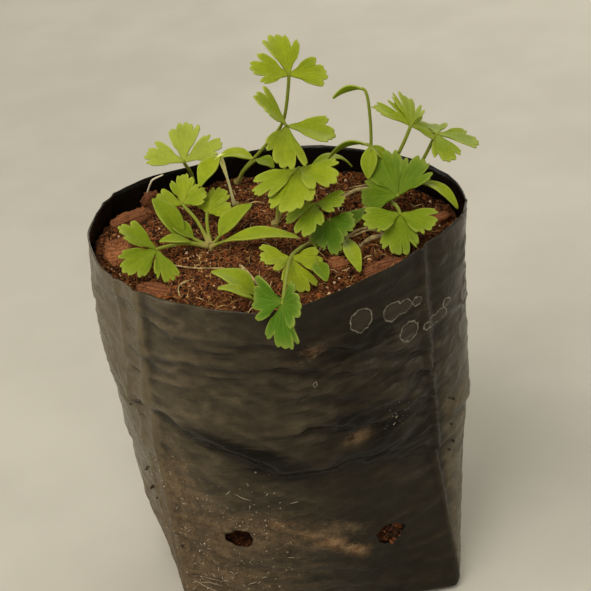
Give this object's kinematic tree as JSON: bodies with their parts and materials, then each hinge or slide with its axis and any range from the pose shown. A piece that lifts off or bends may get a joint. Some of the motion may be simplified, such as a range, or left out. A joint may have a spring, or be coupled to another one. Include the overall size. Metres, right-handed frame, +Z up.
{
  "type": "potted parsley seedlings",
  "caption": "Clumps of young parsley with toothed three-part leaves and smooth seed leaves, growing from coir potting mix in a black film nursery bag.",
  "frame": {"origin": "centre of the bag's flat bottom", "axes": "+Z up, +X to the right and +Y to the back as the plant is seen from its front"},
  "size_m": [0.1083, 0.1035, 0.1472],
  "materials": {
    "film": "creased black polythene film, half glossy, dusty",
    "coir": "crumbly red-brown coir and soil",
    "husk": "fibrous coconut husk chips",
    "dry": "dry pale stalks",
    "leaf": "fresh green, satin, slightly translucent"
  },
  "bodies": {
    "root": {"bag": "film", "soil": "coir", "husk_chip_1": "husk", "husk_chip_2": "husk", "husk_chip_3": "husk", "husk_chip_4": "husk", "husk_chip_5": "husk", "husk_chip_6": "husk", "husk_chip_7": "husk", "dry_stalk_1": "dry", "dry_stalk_2": "dry", "seedling_left": "leaf", "seedling_front": "leaf", "seedling_back_left": "leaf", "seedling_pale": "leaf", "seedling_tall": "leaf", "seedling_middle": "leaf", "seedling_centre": "leaf", "seedling_right": "leaf", "seedling_small": "leaf"}
  },
  "joints": []
}
